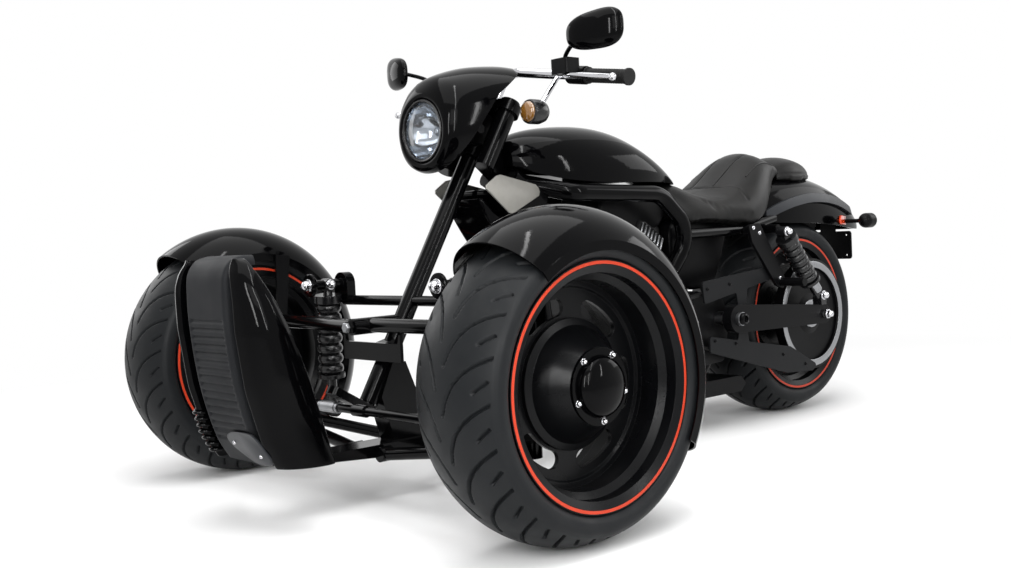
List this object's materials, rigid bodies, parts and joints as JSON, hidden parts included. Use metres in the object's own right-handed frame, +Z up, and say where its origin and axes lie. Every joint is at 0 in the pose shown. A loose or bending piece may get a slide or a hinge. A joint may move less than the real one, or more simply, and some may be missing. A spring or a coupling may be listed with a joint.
{
  "type": "motorized trike",
  "caption": "Reverse trike with wide steered front wheels, a raked steering column, a twin-cylinder engine, a saddle and one belt-driven rear wheel, for a seated rider.",
  "frame": {"origin": "on the floor below the middle of the overall box", "axes": "+Z up, -Y forward, +X the rider's left"},
  "size_m": [1.57, 2.48, 1.1629],
  "materials": {
    "tyre": "matte",
    "satin_black": "satin",
    "gloss_black": "gloss",
    "shock_black": "satin",
    "signal_black": "gloss",
    "radiator_black": "matte",
    "strut_grey": "satin",
    "leather_black": "satin",
    "bare_metal": "brushed",
    "rubber_black": "matte",
    "lamp_red": "gloss",
    "lamp_reflector": "polished",
    "lamp_glass": "clear"
  },
  "bodies": {
    "chassis": {"column_tube": "gloss_black", "front_beam": "satin_black", "upper_arms": "gloss_black", "lower_arms": "gloss_black", "shock_beam": "satin_black", "front_shocks": "shock_black", "frame_neck": "gloss_black", "frame_rails": "gloss_black", "frame_cradle": "gloss_black", "swingarm": "satin_black", "axles": "bare_metal", "drive_belt": "rubber_black", "belt_guards": "strut_grey", "crankcase": "satin_black", "cylinders": "satin_black", "pivot_plates": "satin_black", "tank_cover": "gloss_black", "rear_fender": "gloss_black", "fender_struts": "strut_grey", "rear_subframe": "satin_black", "rear_shocks": "shock_black", "seat": "leather_black", "pillion_pad": "leather_black", "tail_lamp": "lamp_red", "plate_bracket": "satin_black", "rear_signals": "signal_black", "exhaust": "satin_black", "low_box": "satin_black", "foot_pegs": "satin_black", "peg_plates": "satin_black", "shroud_center": "radiator_black", "radiator_core": "radiator_black", "shroud_sides": "gloss_black", "intake_scoops": "satin_black"},
    "steering": {"steering_stem": "satin_black", "handlebar": "gloss_black", "grips": "rubber_black", "bar_controls": "satin_black", "mirrors": "gloss_black", "fairing": "gloss_black", "headlamp": "lamp_reflector", "headlamp_lens": "lamp_glass", "front_signals": "signal_black"},
    "tie_rod": {"tie_rod": "gloss_black"},
    "knuckle_left": {"knuckle_left": "satin_black", "fender_front_left": "gloss_black"},
    "knuckle_right": {"knuckle_right": "satin_black", "fender_front_right": "gloss_black"},
    "wheel_left": {"tyre_front_left": "tyre", "rim_front_left": "satin_black", "hub_cap_left": "gloss_black"},
    "wheel_right": {"tyre_front_right": "tyre", "rim_front_right": "satin_black", "hub_cap_right": "gloss_black"},
    "wheel_rear": {"tyre_rear": "tyre", "rim_rear": "satin_black", "belt_pulley": "bare_metal"}
  },
  "joints": [
    {"name": "steering", "type": "hinge", "parent": "chassis", "child": "steering", "pos_m": [0, -0.468, 0.812], "axis": [0, 0.515, 0.8572], "range_deg": [-32, 32]},
    {"name": "tie_rod_slide", "type": "slide", "parent": "chassis", "child": "tie_rod", "axis": [1, 0, 0], "range_m": [-0.053, 0.053]},
    {"name": "kingpin_left", "type": "hinge", "parent": "chassis", "child": "knuckle_left", "pos_m": [0.545, -0.79, 0.3], "axis": [0, 0, 1], "range_deg": [-27, 27]},
    {"name": "kingpin_right", "type": "hinge", "parent": "chassis", "child": "knuckle_right", "pos_m": [-0.545, -0.79, 0.3], "axis": [0, 0, 1], "range_deg": [-27, 27]},
    {"name": "wheel_left_spin", "type": "hinge", "parent": "knuckle_left", "child": "wheel_left", "pos_m": [0.655, -0.79, 0.324], "axis": [1, 0, 0], "continuous": true},
    {"name": "wheel_right_spin", "type": "hinge", "parent": "knuckle_right", "child": "wheel_right", "pos_m": [-0.655, -0.79, 0.324], "axis": [1, 0, 0], "continuous": true},
    {"name": "wheel_rear_spin", "type": "hinge", "parent": "chassis", "child": "wheel_rear", "pos_m": [0, 0.84, 0.324], "axis": [1, 0, 0], "continuous": true}
  ],
  "couplings": [
    {"joint": "kingpin_left", "follows": "steering", "ratio": 0.84},
    {"joint": "kingpin_right", "follows": "steering", "ratio": 0.84},
    {"joint": "tie_rod_slide", "follows": "steering", "m_per_rad": 0.0941}
  ]
}
